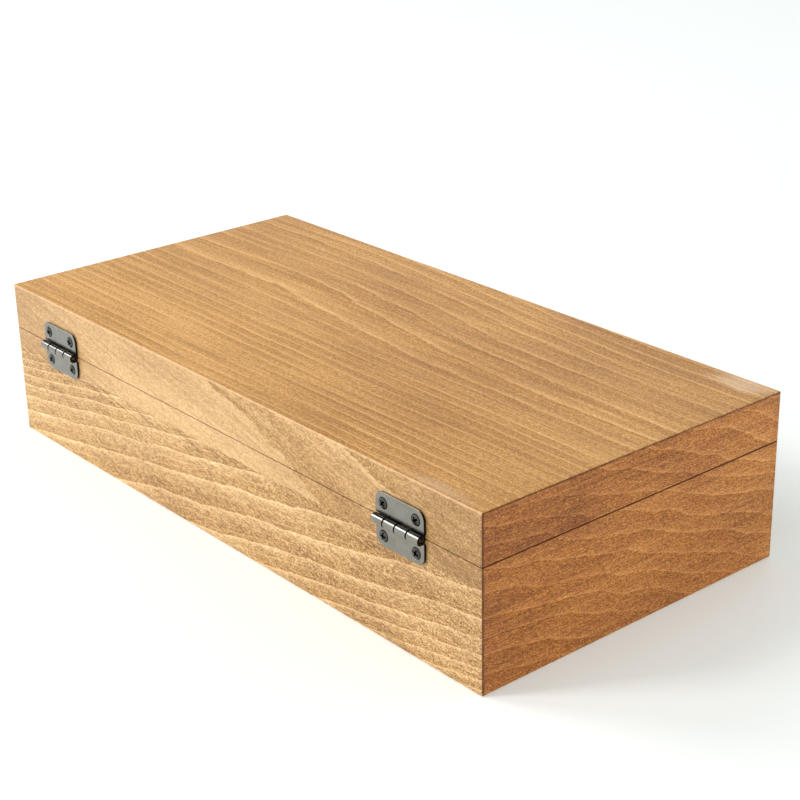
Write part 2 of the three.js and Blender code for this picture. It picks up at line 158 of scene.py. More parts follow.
class Nodes:
    """Short calls for building a shader node tree. Any argument may be a socket or a number."""

    def __init__(self, tree):
        self.tree = tree

    def put(self, socket, value):
        if isinstance(value, bpy.types.NodeSocket):
            self.tree.links.new(value, socket)
        else:
            socket.default_value = value

    def node(self, kind, settings=None, **inputs):
        made = self.tree.nodes.new(kind)
        for name, value in (settings or {}).items():
            setattr(made, name, value)
        for name, value in inputs.items():
            self.put(made.inputs[name.replace("_", " ")], value)
        return made

    def math(self, operation, *values):
        made = self.node("ShaderNodeMath", {"operation": operation})
        for socket, value in zip(made.inputs, values):
            self.put(socket, value)
        return made.outputs[0]

    def add(self, *values):
        total = values[0]
        for value in values[1:]:
            total = self.math("ADD", total, value)
        return total

    def times(self, *values):
        product = values[0]
        for value in values[1:]:
            product = self.math("MULTIPLY", product, value)
        return product

    def weigh(self, *terms):
        """The sum of (value, weight) pairs."""
        return self.add(*(self.times(value, weight) for value, weight in terms))

    def less(self, value, share):
        """1 where the value is 0, and `share` less than 1 where the value is 1."""
        return self.math("MULTIPLY_ADD", value, -share, 1.0)

    def step(self, value, low, high, to_low=0.0, to_high=1.0):
        made = self.node("ShaderNodeMapRange", {"interpolation_type": "SMOOTHSTEP"}, Value=value)
        for name, limit in (("From Min", low), ("From Max", high), ("To Min", to_low), ("To Max", to_high)):
            self.put(made.inputs[name], limit)
        return made.outputs[0]

    def steps(self, value, *changes):
        """The sum of several steps of one value, each given as low, high, to_low and to_high."""
        return self.add(*(self.step(value, *change) for change in changes))

    def window(self, value, opens, opened, closing, closed):
        """1 between `opened` and `closing`, and 0 outside `opens` and `closed`."""
        return self.times(self.step(value, opens, opened), self.step(value, closed, closing))

    def noise(self, vector, stretch, detail=2.0):
        """Noise whose coordinate is vector times stretch; stretch gives cycles per unit on each axis."""
        scaled = self.node("ShaderNodeVectorMath", {"operation": "MULTIPLY"})
        self.put(scaled.inputs[0], vector)
        self.put(scaled.inputs[1], stretch)
        return self.node("ShaderNodeTexNoise", Vector=scaled.outputs[0], Scale=1.0, Detail=detail).outputs[0]

    def soft_noise(self, vector, stretch):
        """Noise with one octave fewer."""
        return self.noise(vector, stretch, 1.0)

    def swing(self, vector, stretch, amount):
        """Noise centred on zero. Plain noise mostly lies within a third of 0.5, so it is widened three
        times to swing by about `amount` each way."""
        spread = 3.0 * amount
        return self.math("MULTIPLY_ADD", self.noise(vector, stretch), spread, -spread / 2)

    def mix(self, factor, first, second, blend="MIX"):
        """Mixes two colours, which are inputs 6 and 7 and output 2 of a Mix node."""
        made = self.node("ShaderNodeMix", {"data_type": "RGBA", "blend_type": blend})
        for socket, value in zip((made.inputs[0], made.inputs[6], made.inputs[7]), (factor, first, second)):
            self.put(socket, value)
        return made.outputs[2]

    def blend(self, factor, first, second):
        """Mixes two numbers, which are inputs 2 and 3 and output 0 of a Mix node."""
        made = self.node("ShaderNodeMix", {"data_type": "FLOAT"})
        for socket, value in zip((made.inputs[0], made.inputs[2], made.inputs[3]), (factor, first, second)):
            self.put(socket, value)
        return made.outputs[0]

    def gray(self, value):
        made = self.node("ShaderNodeCombineColor")
        for socket in made.inputs:
            self.put(socket, value)
        return made.outputs[0]

    def vector(self, x, y, z):
        made = self.node("ShaderNodeCombineXYZ")
        for socket, value in zip(made.inputs, (x, y, z)):
            self.put(socket, value)
        return made.outputs[0]

    def object_mm(self):
        """Object coordinates in millimetres, as a vector and as its three parts."""
        place = self.node("ShaderNodeTexCoord").outputs["Object"]
        scaled = self.node("ShaderNodeVectorMath", {"operation": "SCALE"}, Vector=place, Scale=1 / MM)
        parts = self.node("ShaderNodeSeparateXYZ", Vector=scaled.outputs[0])
        return scaled.outputs[0], parts.outputs


def new_material(name):
    """A material, the Nodes of its tree and its Principled BSDF."""
    material = bpy.data.materials.new(name)
    material.use_nodes = True
    return material, Nodes(material.node_tree), material.node_tree.nodes["Principled BSDF"]


# ---- Wood: what all boards share ----

# Cycles per millimetre along the grain, across it and into the board.
RING_SWINGS = (                # stretch, and amount in rings
    ((0.022, 0.05, 0.05), 0.16),
    ((0.09, 0.22, 0.22), 0.05),
    ((0.45, 1.2, 1.2), 0.05),
)
CONTRAST_PATCHES = (0.015, 0.04, 0.04)
COARSE_FLECKS = (0.55, 2.1, 2.1)
FINE_FLECKS = (1.2, 3.8, 3.8)
FINE_FIBRES = (0.03, 1.3, 1.3)
BROAD_FIBRES = (0.012, 0.45, 0.45)
BLOTCHES = (0.012, 0.035, 0.035)
PORES = (0.45, 3.4, 3.4)

DEEPEST_SHADE, PALEST_SHADE = -0.85, 0.55
SHADE_GAMMA = 0.42             # how much a shade changes the saturation
SHADE_GAIN = 0.62              # how much it changes the brightness
PORE_SHADE = 0.16              # how much pores darken, as a share of the flecks
WOOD_ROUGHNESS, FLECK_POLISH, PORE_ROUGHNESS = 0.44, 0.12, 0.14
WOOD_SPECULAR = 0.4
WOOD_BUMP = 0.3
WOOD_RELIEF = 0.1 * MM
FIBRE_RISE, FLECK_RISE, PORE_DEPTH, TONE_RISE = 0.35, 0.4, 0.8, 0.25    # shares of the relief


def ring_tone(n, given):
    """0 for dark wood and 1 for pale. Each ring climbs slowly from dark to light and ends in a thin
    pale line, with fainter lines a third of a ring apart. Where Calm is 1 the rings below number
    zero are wiped out, and Fade hides all rings."""
    line_end, after_line = 0.97, 0.35
    thin_per_ring, thin_shift, thin_start, thin_end = 3.0, 0.35, 0.68, 0.93
    climb_power, climb_weight, line_weight, thin_weight = 1.4, 0.42, 0.60, 0.22
    patch_gain, patch_least, calm_loss = 1.8, 0.1, 0.32
    usual_tone, usual_band, wiped_tone, wiped_edge = 0.45, 0.38, 0.70, 0.015

    ring = n.add(given["Ring"], *(n.swing(given["Grain"], *swing) for swing in RING_SWINGS))
    climb = n.math("FRACT", ring)
    line = n.times(n.step(climb, n.math("SUBTRACT", 1.0, given["Line"]), line_end),
                   n.step(climb, line_end, 1.0, 1.0, after_line))
    third = n.math("FRACT", n.math("MULTIPLY_ADD", ring, thin_per_ring, thin_shift))
    thin_line = n.window(third, thin_start, thin_end, thin_end, 1.0)
    banded = n.weigh((n.math("POWER", climb, climb_power), climb_weight), (line, line_weight),
                     (thin_line, thin_weight))

    patches = n.soft_noise(given["Grain"], CONTRAST_PATCHES)
    patches = n.math("MULTIPLY_ADD", patches, patch_gain, patch_least)
    calmer = n.less(given["Calm"], calm_loss)
    strength = n.times(given["Contrast"], patches, calmer, n.less(given["Fade"], 1.0))
    tone = n.math("MULTIPLY_ADD", n.add(banded, -usual_band), strength, usual_tone)
    wiped = n.times(given["Calm"], n.step(ring, -wiped_edge, wiped_edge, 1.0, 0.0))
    return n.blend(wiped, tone, wiped_tone)


def fleck_pattern(n, given, tone):
    """Short flecks centred on zero, stronger in dark wood and weaker where it is calm."""
    coarse_weight, dark_gain, pale_loss, calm_loss = 0.6, 1.45, 0.9, 0.35
    mean = (coarse_weight + 1.0) / 2
    fleck = n.add(n.times(n.soft_noise(given["Grain"], COARSE_FLECKS), coarse_weight),
                  n.soft_noise(given["Grain"], FINE_FLECKS), -mean)
    darker = n.math("MULTIPLY_ADD", tone, -pale_loss, dark_gain)
    return n.times(fleck, darker, n.less(given["Calm"], calm_loss))


def pore_pattern(n, given, tone):
    """The open pores, which show less in pale wood."""
    pore_edge, pore_full, dark_gain, pale_loss = 0.60, 0.70, 1.1, 0.8
    pores = n.step(n.soft_noise(given["Grain"], PORES), pore_edge, pore_full)
    return n.times(pores, n.math("MULTIPLY_ADD", tone, -pale_loss, dark_gain))


def hardwood_group():
    """Stained beech-like wood from a ring number and a grain coordinate, which is the place along,
    across and into the board in millimetres. Stain deepens the colour."""
    tree = bpy.data.node_groups.new("hardwood", "ShaderNodeTree")
    for name in ("Ring", "Calm", "Line", "Contrast", "Fleck", "Fibre", "Blotch", "Stain", "Fade"):
        tree.interface.new_socket(name, in_out="INPUT", socket_type="NodeSocketFloat")
    tree.interface.new_socket("Grain", in_out="INPUT", socket_type="NodeSocketVector")
    for name in ("Light", "Dark"):
        tree.interface.new_socket(name, in_out="INPUT", socket_type="NodeSocketColor")
    tree.interface.new_socket("Color", in_out="OUTPUT", socket_type="NodeSocketColor")
    for name in ("Roughness", "Height"):
        tree.interface.new_socket(name, in_out="OUTPUT", socket_type="NodeSocketFloat")
    n = Nodes(tree)
    given = n.node("NodeGroupInput").outputs

    tone = ring_tone(n, given)
    fleck = fleck_pattern(n, given, tone)
    fibre = n.add(n.noise(given["Grain"], FINE_FIBRES), n.soft_noise(given["Grain"], BROAD_FIBRES), -1.0)
    blotch = n.add(n.noise(given["Grain"], BLOTCHES), -0.5)
    pores = pore_pattern(n, given, tone)
    shade = n.weigh((fleck, given["Fleck"]), (fibre, given["Fibre"]), (blotch, given["Blotch"]),
                    (pores, n.times(given["Fleck"], -PORE_SHADE)), (given["Stain"], -1.0))
    shade = n.math("MAXIMUM", n.math("MINIMUM", shade, PALEST_SHADE), DEEPEST_SHADE)

    stained = n.mix(tone, given["Dark"], given["Light"])
    stained = n.node("ShaderNodeGamma", Color=stained, Gamma=n.less(shade, SHADE_GAMMA)).outputs[0]
    colour = n.mix(1.0, stained, n.gray(n.less(shade, -SHADE_GAIN)), "MULTIPLY")

    out = n.node("NodeGroupOutput")
    n.put(out.inputs["Color"], colour)
    uneven = n.weigh((fleck, -FLECK_POLISH), (pores, PORE_ROUGHNESS))
    n.put(out.inputs["Roughness"], n.add(WOOD_ROUGHNESS, uneven))
    n.put(out.inputs["Height"], n.weigh((fibre, FIBRE_RISE), (fleck, FLECK_RISE), (pores, -PORE_DEPTH),
                                        (tone, TONE_RISE)))
    return tree


# ---- Wood: the figure of each board ----
#
# A figure returns the grain coordinate and the values it gives to the hardwood group. In it, a is
# the distance from the +X end and b the distance from the top edge. The rings lean as they go into
# a board, so that its rim and inner face show them in other places. A change of stain is given as
# where it starts, where it ends, and the stain before and after it.

def from_top_corner(n, parts):
    return n.math("SUBTRACT", END_X_MM, parts["X"]), n.math("SUBTRACT", HEIGHT_MM, parts["Z"])


def flame_figure(n, parts):
    """Hinge side: a pale flame above a crown line, and bright-topped stripes falling away below it."""
    grain_tilt = 0.22
    crown_b, crown_swings = 28.4, (((0.03, 0.05, 0.05), 0.8), ((0.5, 0.5, 0.5), 0.25))
    flame_tip, flame_slope, flame_ring = 222.0, 0.43, 81.0
    stripe_a, stripe_b, stripe_slope, stripe_ring = 150.0, 52.0, 0.17, 11.0
    stripe_lean, stripe_spread, crown_ring = 0.4, 0.05, 0.2
    rings_fade = 257.0, 273.0, 0.0, 0.85
    a, b = from_top_corner(n, parts)
    grain = n.vector(n.weigh((a, 1.0), (b, grain_tilt)), n.weigh((b, 1.0), (a, -grain_tilt)), parts["Y"])

    past_flame = n.add(a, n.times(n.math("SUBTRACT", crown_b, b), 1 / flame_slope), -flame_tip)
    upper = n.times(past_flame, 1 / flame_ring)
    fall = n.add(b, n.times(a, stripe_slope), -stripe_slope * stripe_a - stripe_b,
                 n.times(n.math("SUBTRACT", SIDE_Y_MM, parts["Y"]), stripe_lean))
    fall = n.times(fall, 1 / stripe_ring)
    lower = n.math("SUBTRACT", crown_ring, n.add(fall, n.times(n.math("POWER", fall, 3.0), stripe_spread)))
    crown = n.add(crown_b, *(n.swing(grain, *swing) for swing in crown_swings))
    above = n.math("LESS_THAN", b, crown)
    below = n.math("SUBTRACT", 1.0, above)
    stain = n.add(flame_stain(n, a, past_flame, above, below), crown_streaks(n, a, b, crown_b, grain),
                  pale_wedge(n, a, b))
    fade = n.times(above, n.step(a, *rings_fade))
    return grain, {"Ring": n.weigh((above, upper), (below, lower)), "Calm": above, "Stain": stain,
                   "Fade": fade}


def flame_stain(n, a, past_flame, above, below):
    """Both ends of the hinge side are darker, the -X end most of all."""
    start_dark = 40.0, 170.0, 0.26, 0.0
    end_dark = 212.0, 246.0, 0.0, 0.21
    end_darkest = 262.0, 284.0, 0.0, 0.25
    flame_pale = 0.0, 4.0, 0.0, -0.11
    below_pale = 60.0, 180.0, -0.14, 0.0
    end_tint = 190.0, 270.0, 0.0, 0.06
    stain_above = n.add(n.steps(a, start_dark, end_dark, end_darkest), n.step(past_flame, *flame_pale))
    return n.add(n.weigh((above, stain_above), (below, n.step(a, *below_pale))), n.step(a, *end_tint))


def crown_streaks(n, a, b, crown_b, grain):
    """Dark streaks that run along the hinge side just below its crown line."""
    stretch, strength, ends = (0.012, 0.75, 0.75), (0.48, 0.64, 0.0, 0.34), (150.0, 215.0, 1.0, 0.0)
    rows = [crown_b + away for away in (-0.8, 0.6, 4.0, 7.5)]
    return n.times(n.step(n.soft_noise(grain, stretch), *strength), n.window(b, *rows), n.step(a, *ends))


def pale_wedge(n, a, b):
    """A wedge of pale wood beside the hinge at the -X end."""
    slope, edge_a, strength = 0.73, 264.5, (-0.7, 0.9, -0.22, 0.0)
    rows, starts = (17.0, 22.0, 25.0, 32.0), (262.0, 272.0)
    past_edge = n.add(a, n.times(b, -slope), -edge_a)
    return n.times(n.step(past_edge, *strength), n.window(b, *rows), n.step(a, *starts))


def plank_figure(start, ring_width, slope, bow, flip=1.0):
    """Straight-grained long board: rings that run nearly along it and bow a little. `start` also
    picks a part of the noise of its own."""
    lean, noise_shift, bow_stretch = 0.3, 31.0, (0.006, 0.012, 0.012)

    def figure(n, parts):
        a, b = from_top_corner(n, parts)
        grain = n.vector(n.add(a, start * noise_shift), b, parts["Y"])
        fall = n.add(b, n.times(a, slope), n.times(parts["Y"], lean), start,
                     n.swing(grain, bow_stretch, bow))
        return grain, {"Ring": n.times(fall, flip / ring_width)}
    return figure


def lid_top_figure(n, parts):
    """Wide pale-edged bands towards the front of the lid, closing up to fine lines at the hinges.
    Here b is the distance from the front edge."""
    ring_width, first_b, lean = 12.0, 29.0, 0.4
    fine_b, fine_gain = 78.0, 0.117
    wide_b, wide_gain = 27.0, -0.06
    bow_stretch, bow = (0.008, 0.02, 0.02), 1.6
    sway_along, sway_across = (60.0, 260.0, -14.0, 3.0), (50.0, 100.0, 1.0, 0.0)
    # The darkening towards the -X end is partly stain and partly painted shade, where the top shows less
    # sheen than at the +X end.
    end_dark, front_dark = (60.0, 300.0, 0.0, 0.17), (0.0, 110.0, 0.07, 0.0)
    a = n.math("SUBTRACT", END_X_MM, parts["X"])
    b = n.add(parts["Y"], SIDE_Y_MM)
    grain = n.vector(a, b, parts["Z"])
    sway = n.times(n.step(a, *sway_along), n.step(b, *sway_across))
    v = n.add(n.math("SUBTRACT", b, sway), n.swing(grain, bow_stretch, bow),
              n.times(parts["Z"], lean), -lean * HEIGHT_MM)
    fine = n.times(n.math("MAXIMUM", n.add(v, -fine_b), 0.0), fine_gain)
    wide = n.times(n.math("MAXIMUM", n.math("SUBTRACT", wide_b, v), 0.0), wide_gain)
    stain = n.add(n.step(a, *end_dark), n.step(b, *front_dark))
    return grain, {"Ring": n.add(n.times(n.add(v, -first_b), 1 / ring_width), fine, wide), "Stain": stain}


def bottom_figure(n, parts):
    """Straight-grained panel."""
    ring_width, slope, noise_shift = 8.5, 0.02, 900.0
    bow_stretch, bow = (0.006, 0.015, 0.015), 5.0
    a = n.math("SUBTRACT", END_X_MM, parts["X"])
    grain = n.vector(n.add(a, noise_shift), parts["Y"], parts["Z"])
    v = n.add(parts["Y"], n.times(a, slope), n.swing(grain, bow_stretch, bow))
    return grain, {"Ring": n.times(v, 1 / ring_width)}


def end_figure(noise_shift):
    """End board, grain along Y: rings that sink towards the front in shallow arcs. Here u is the
    distance from the hinge side."""
    ring_width, slope, arc, lean = 8.0, -0.2, -0.0007, 0.3
    bow_stretch, bow = (0.010, 0.028, 0.028), 6.0
    fineness = 1.35                # how much closer its flecks and fibres are than on the long sides
    upper_dark, upper_pale = (42.0, 62.0, 0.26, 0.0), (93.0, 110.0, 0.0, -0.13)
    lower_dark, upper_ends = (0.0, 48.0, 0.14, -0.04), (15.0, 27.0)

    def figure(n, parts):
        u = n.math("SUBTRACT", SIDE_Y_MM, parts["Y"])
        b = n.math("SUBTRACT", HEIGHT_MM, parts["Z"])
        grain = n.vector(n.times(n.add(u, noise_shift), fineness), n.times(b, fineness), parts["X"])
        v = n.add(b, n.times(u, slope), n.times(n.math("POWER", u, 2.0), arc), n.times(parts["X"], lean),
                  n.swing(grain, bow_stretch, bow))
        stain = n.blend(n.step(b, *upper_ends), n.steps(u, upper_dark, upper_pale), n.step(u, *lower_dark))
        return grain, {"Ring": n.times(v, 1 / ring_width), "Stain": stain}
    return figure


# ---- Wood: materials ----

def with_edge_lines(n, colour, place, parts, skin, edges):
    """Draws lines, a little ragged, along edges of the outer face: stain at the joints, and pale lines along
    the top arris that are partly wear and partly a painted highlight. They stop between `faint` and `gone`
    millimetres inside that face, so the inside and the saw cut stay clean."""
    faint, gone = 0.8, 1.6
    full_width = 0.35              # the share of a line's width where it is at full strength
    ragged_stretch, raggedness = (0.35, 0.35, 0.35), 0.35
    ragged = n.swing(place, ragged_stretch, raggedness)
    skin_axis, skin_distance = skin
    outside = n.step(n.math("ABSOLUTE", parts[skin_axis]), skin_distance - gone, skin_distance - faint)
    for axis, position, half_width, strength, tint in edges:
        away = n.math("ABSOLUTE", n.add(parts[axis], -position))
        away = n.math("MULTIPLY_ADD", ragged, half_width, away)
        drawn = n.times(n.step(away, half_width * full_width, half_width, strength, 0.0), outside)
        colour = n.mix(drawn, colour, opaque(tint))
    return colour


def with_painted_sheen(n, colour, grain, parts, sheen_patches):
    """Paints pale patches of sheen on the lid, a painted reflection, with cloudy outlines."""
    cloudy_stretch, cloudiness = (0.05, 0.3, 0.3), 0.45
    full_within, gone_beyond = 0.2, 1.1            # shares of the patch's own half sizes
    cloudy = n.swing(grain, cloudy_stretch, cloudiness)
    for x, y, half_length, half_width, strength in sheen_patches:
        along = n.math("POWER", n.times(n.add(parts["X"], -x), 1 / half_length), 2.0)
        across = n.math("POWER", n.times(n.add(parts["Y"], -y), 1 / half_width), 2.0)
        out = n.add(n.math("SQRT", n.add(along, across)), cloudy)
        colour = n.mix(n.step(out, full_within, gone_beyond, strength, 0.0), colour, opaque(PAINTED_SHEEN))
    return colour


def wood(name, figure, colours, line=0.13, contrast=1.0, fleck=2.2, fibre=0.5, blotch=0.9,
         skin=("Z", HEIGHT_MM), edges=(), sheen_patches=()):
    """A board's material. `line` is the width of the pale lines, in rings. `skin` is the axis and
    distance of the outer face. `edges` lists lines on it: axis, position, half width, strength and
    colour. The last list gives patches of painted sheen: X and Y of the middle, half length, half width and
    strength."""
    material, n, shader = new_material(name)
    place, parts = n.object_mm()
    grain, given = figure(n, parts)
    light, dark = colours
    group = n.node("ShaderNodeGroup", {"node_tree": HARDWOOD}, Grain=grain, Line=line, Contrast=contrast,
                   Fleck=fleck, Fibre=fibre, Blotch=blotch, Light=opaque(light), Dark=opaque(dark), **given)
    colour = group.outputs["Color"]
    if edges:
        colour = with_edge_lines(n, colour, place, parts, skin, edges)
    if sheen_patches:
        colour = with_painted_sheen(n, colour, grain, parts, sheen_patches)
    n.put(shader.inputs["Base Color"], colour)
    n.put(shader.inputs["Roughness"], group.outputs["Roughness"])
    bump = n.node("ShaderNodeBump", Height=group.outputs["Height"], Strength=WOOD_BUMP,
                  Distance=WOOD_RELIEF)
    n.put(shader.inputs["Normal"], bump.outputs[0])
    shader.inputs["Specular IOR Level"].default_value = WOOD_SPECULAR
    return material


# ---- Metal ----

# Cycles per millimetre along X, Y and Z.
METAL_CLOUDS = (0.25, 0.25, 0.25)
METAL_GRIT = (5.0, 5.0, 5.0)
METAL_BRUSHING = (0.6, 9.0, 9.0)

METAL_BUMP = 0.15
METAL_RELIEF = 0.02 * MM


def metal(name, tones, roughness, end_tint_and_shade=END_SHADE, painted_shade_mask=None):
    """Satin plated steel with fine scratches. Faces that point along X take the end colour: painted shade on
    plates and screws, the pins' own end colour on pins. The mask given last paints shade nearly black."""
    clouds_from, clouds_to = 0.35, 0.65
    grit_from, grit_to, grit_strength, grit_rise = 0.66, 0.8, 0.2, 0.5
    end_face_from, end_face_to, end_face_strength = 0.35, 0.75, 0.95
    cloud_roughness, brushed_roughness = 0.06, 0.10
    material, n, shader = new_material(name)
    place, parts = n.object_mm()
    bright, dull = tones
    cloud = n.noise(place, METAL_CLOUDS)
    grit = n.noise(place, METAL_GRIT)
    brushed = n.noise(place, METAL_BRUSHING)
    colour = n.mix(n.step(cloud, clouds_from, clouds_to), opaque(dull), opaque(bright))
    colour = n.mix(n.step(grit, grit_from, grit_to, 0.0, grit_strength), colour, opaque(GRIT))
    facing = n.node("ShaderNodeSeparateXYZ", Vector=n.node("ShaderNodeNewGeometry").outputs["True Normal"])
    # Faces pointing along X take the end colour: painted shade on plates and screws, the pins' own end colour
    # on pins.
    cut = n.step(n.math("ABSOLUTE", facing.outputs["X"]), end_face_from, end_face_to, 0.0, end_face_strength)
    colour = n.mix(cut, colour, opaque(end_tint_and_shade))
    # Painted shade, nearly black, where the mask says.
    if painted_shade_mask:
        colour = n.mix(painted_shade_mask(n, parts), colour, opaque(SHADE_BLACK))
    n.put(shader.inputs["Base Color"], colour)
    uneven = n.weigh((cloud, cloud_roughness), (brushed, brushed_roughness))
    n.put(shader.inputs["Roughness"], n.add(roughness, uneven))
    bump = n.node("ShaderNodeBump", Height=n.weigh((brushed, 1.0), (grit, grit_rise)), Strength=METAL_BUMP,
                  Distance=METAL_RELIEF)
    n.put(shader.inputs["Normal"], bump.outputs[0])
    shader.inputs["Metallic"].default_value = 1.0
    return material


def barrel_painted_shade(side):
    """Painted shade on one hinge: dark seams between the knuckles, and a dark band along the top of its
    barrel.
    """
    seam_black, seam_unshaded, seam_depth = 0.30, 0.45, 0.95
    top_shade_starts, top_shade_full, top_shade_depth = 1.45, 1.75, 0.85
    top_shade_wanes, top_shade_gone = 2.0, 3.2
    edge = 0.05
    low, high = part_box(f"{side}_hinge_pin")
    centre = (low + high) / 2 / MM
    first = centre.x - BARREL_MM / 2
    pitch = BARREL_MM / KNUCKLES

    def mask(n, parts):
        height = n.add(parts["Z"], -centre.z)
        on_barrel = n.step(n.math("ABSOLUTE", height), BARREL_RADIUS_MM - edge, BARREL_RADIUS_MM + edge,
                           1.0, 0.0)
        seams = 0.0
        # Painted shade in the gaps between the knuckles.
        for k in range(1, KNUCKLES):
            away = n.math("ABSOLUTE", n.add(parts["X"], -(first + k * pitch)))
            seams = n.add(seams, n.step(away, seam_black, seam_unshaded, seam_depth, 0.0))
        # Painted shade: a dark band along the top of the barrel, above its highlight.
        top_shade = n.times(n.step(height, top_shade_starts, top_shade_full, 0.0, top_shade_depth),
                          n.step(height, top_shade_wanes, top_shade_gone, 1.0, 0.0))
        return n.math("MAXIMUM", n.times(seams, on_barrel), top_shade)
    return mask


def head_painted_shade(screw):
    """Painted shade on a screw below its domed top: in the cross, and round the foot of the rim."""
    rim_starts, rim_full, rim_depth = 0.66, 0.88, 0.9          # squares of the share of the radius
    cross_starts, cross_full = 0.03, 0.12                      # millimetres below the dome
    low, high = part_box(screw)
    centre = (low + high) / 2 / MM
    radius = (high.x - low.x) / 2 / MM
    crown = max(abs(low.y), abs(high.y)) / MM
    dome = HEAD_DOME_MM if high.y > 0 else 0.0

    def mask(n, parts):
        across = n.math("DIVIDE", n.add(parts["X"], -centre.x), radius)
        along = n.math("DIVIDE", n.add(parts["Z"], -centre.z), radius)
        out = n.weigh((across, across), (along, along))
        # Painted shade in the recessed cross and round the foot of the rim.
        depth = n.math("SUBTRACT", n.math("MULTIPLY_ADD", out, -dome, crown), n.math("ABSOLUTE", parts["Y"]))
        rim = n.step(out, rim_starts, rim_full, 0.0, rim_depth)
        return n.math("MAXIMUM", n.step(depth, cross_starts, cross_full), rim)
    return mask


# ---- Boards ----

def finished(mesh, name, material):
    """Turns a bmesh into an object with smooth rounds, flat faces and crisp corners."""
    bmesh.ops.recalc_face_normals(mesh, faces=mesh.faces)
    for face in mesh.faces:
        face.smooth = True
    for edge in mesh.edges:
        edge.smooth = len(edge.link_faces) == 2 and edge.calc_face_angle(0.0) < SHARP
    data = bpy.data.meshes.new(name)
    mesh.to_mesh(data)
    mesh.free()
    data.materials.append(material)
    piece = bpy.data.objects.new(name, data)
    bpy.context.scene.collection.objects.link(piece)
    normals = piece.modifiers.new("flat_faces", "WEIGHTED_NORMAL")
    normals.keep_sharp = True
    normals.weight = FACE_WEIGHT
    return piece


def eased(depth, radius):
    """How far a face edge stands back at `depth` when a quarter round of `radius` eases it."""
    if depth >= radius:
        return 0.0
    return radius - math.sqrt(radius ** 2 - (radius - depth) ** 2)


def board_loops(thickness):
    """(depth, mitre inset, rim inset) from the outer face to the inner one."""
    meet = ARRIS_RADIUS * (1 - math.sqrt(0.5))
    loops = []
    for i in range(ARRIS_STEPS + 1):
        depth = meet * (i / ARRIS_STEPS) ** ROUND_CROWDING
        loops.append((depth, eased(depth, ARRIS_RADIUS), eased(depth, RIM_RADIUS)))
    loops.append((meet, meet + GLUE_GAP + GROOVE, eased(meet, RIM_RADIUS)))
    loops.append((meet + 2 * GROOVE, meet + 2 * GROOVE + GLUE_GAP, 0.0))
    for i in range(RIM_STEPS, -1, -1):
        above = RIM_RADIUS * (i / RIM_STEPS) ** ROUND_CROWDING
        depth = thickness - above
        loops.append((depth, depth + GLUE_GAP, eased(above, RIM_RADIUS)))
    return loops


def build_board(node, body, axis, side, material, low_rim=None, high_rim=None):
    """A mitred board on one side of the case. A rim is the height where the saw cut ends it."""
    low, high = CASE_LOW.copy(), CASE_HIGH.copy()
    across = [i for i in range(3) if i != axis]
    rims = set()                   # axis of each sawn edge, and 0 for its low end or 1 for its high one
    if low_rim is not None:
        low.z = low_rim
        rims.add((AXIS_Z, 0))
    if high_rim is not None:
        high.z = high_rim
        rims.add((AXIS_Z, 1))
    mesh = bmesh.new()
    rings = []
    for depth, mitre, rim in board_loops(WALL):
        ring = []
        for s, t in ((0, 0), (1, 0), (1, 1), (0, 1)):
            point = Vector()
            point[axis] = high[axis] - depth if side > 0 else low[axis] + depth
            for which, end in zip(across, (s, t)):
                inset = rim if (which, end) in rims else mitre
                point[which] = high[which] - inset if end else low[which] + inset
            ring.append(mesh.verts.new(point))
        rings.append(ring)
    for near, far in zip(rings, rings[1:]):
        for i in range(4):
            j = (i + 1) % 4
            mesh.faces.new((near[i], near[j], far[j], far[i]))
    mesh.faces.new(rings[0])
    mesh.faces.new(rings[-1])
    piece = finished(mesh, node + "_board", material)
    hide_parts(node)
    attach(piece, body)
    return piece


def board_woods():
    """The material of each side of the case. The body and the lid share one board on every side."""
    end_face, long_face = ("X", END_X_MM), ("Y", SIDE_Y_MM)
    end_edges = [("Y", SIDE_Y_MM, 1.5, 0.95, GATHERED_STAIN), ("Y", -SIDE_Y_MM, 0.8, 0.8, GATHERED_STAIN),
                 ("Z", HEIGHT_MM, 1.1, 0.92, GATHERED_STAIN), ("Z", 0.0, 0.6, 0.6, GATHERED_STAIN),
                 ("Z", SPLIT_MM, 0.55, 0.8, GATHERED_STAIN)]
    # The pale lines along the top arris are partly wear and partly a painted highlight.
    long_edges = [("Z", HEIGHT_MM, 1.0, 0.6, WORN_EDGE_HIGHLIGHT), ("Z", SPLIT_MM, 0.35, 0.3, GATHERED_STAIN)]
    top_edges = [("Y", SIDE_Y_MM, 0.8, 0.45, WORN_EDGE_HIGHLIGHT)]
    # Patches of painted sheen near the two -X corners of the lid.
    top_sheen_patches = [(-127.0, 71.5, 27.0, 4.0, 0.24), (-139.0, -69.0, 17.0, 8.0, 0.5)]
    end_look = {"contrast": 0.9, "fleck": 2.3, "fibre": 0.7, "blotch": 0.8, "skin": end_face,
                "edges": end_edges}
    long_look = {"skin": long_face, "edges": long_edges}
    panel_look = {"line": 0.14, "contrast": 1.0, "fleck": 1.6, "fibre": 0.6, "blotch": 0.7}
    front_figure = plank_figure(start=7.0, ring_width=9.0, slope=-0.09, bow=9.0, flip=-1.0)
    return {
        "back": wood("hinge_side_wood", flame_figure, HINGE_SIDE_COLOURS, line=0.12, contrast=1.3,
                     fleck=3.1, fibre=0.4, **long_look),
        "front": wood("front_side_wood", front_figure, FRONT_COLOURS, contrast=1.2, fleck=2.4,
                      **long_look),
        "left": wood("left_end_wood", end_figure(0.0), LEFT_END_SHADED_COLOURS, **end_look),
        "right": wood("right_end_wood", end_figure(470.0), RIGHT_END_COLOURS, **end_look),
        "top": wood("lid_top_wood", lid_top_figure, PANEL_COLOURS, edges=top_edges, sheen_patches=top_sheen_patches,
                    **panel_look),
        "bottom": wood("bottom_wood", bottom_figure, PANEL_COLOURS, **panel_look),
    }


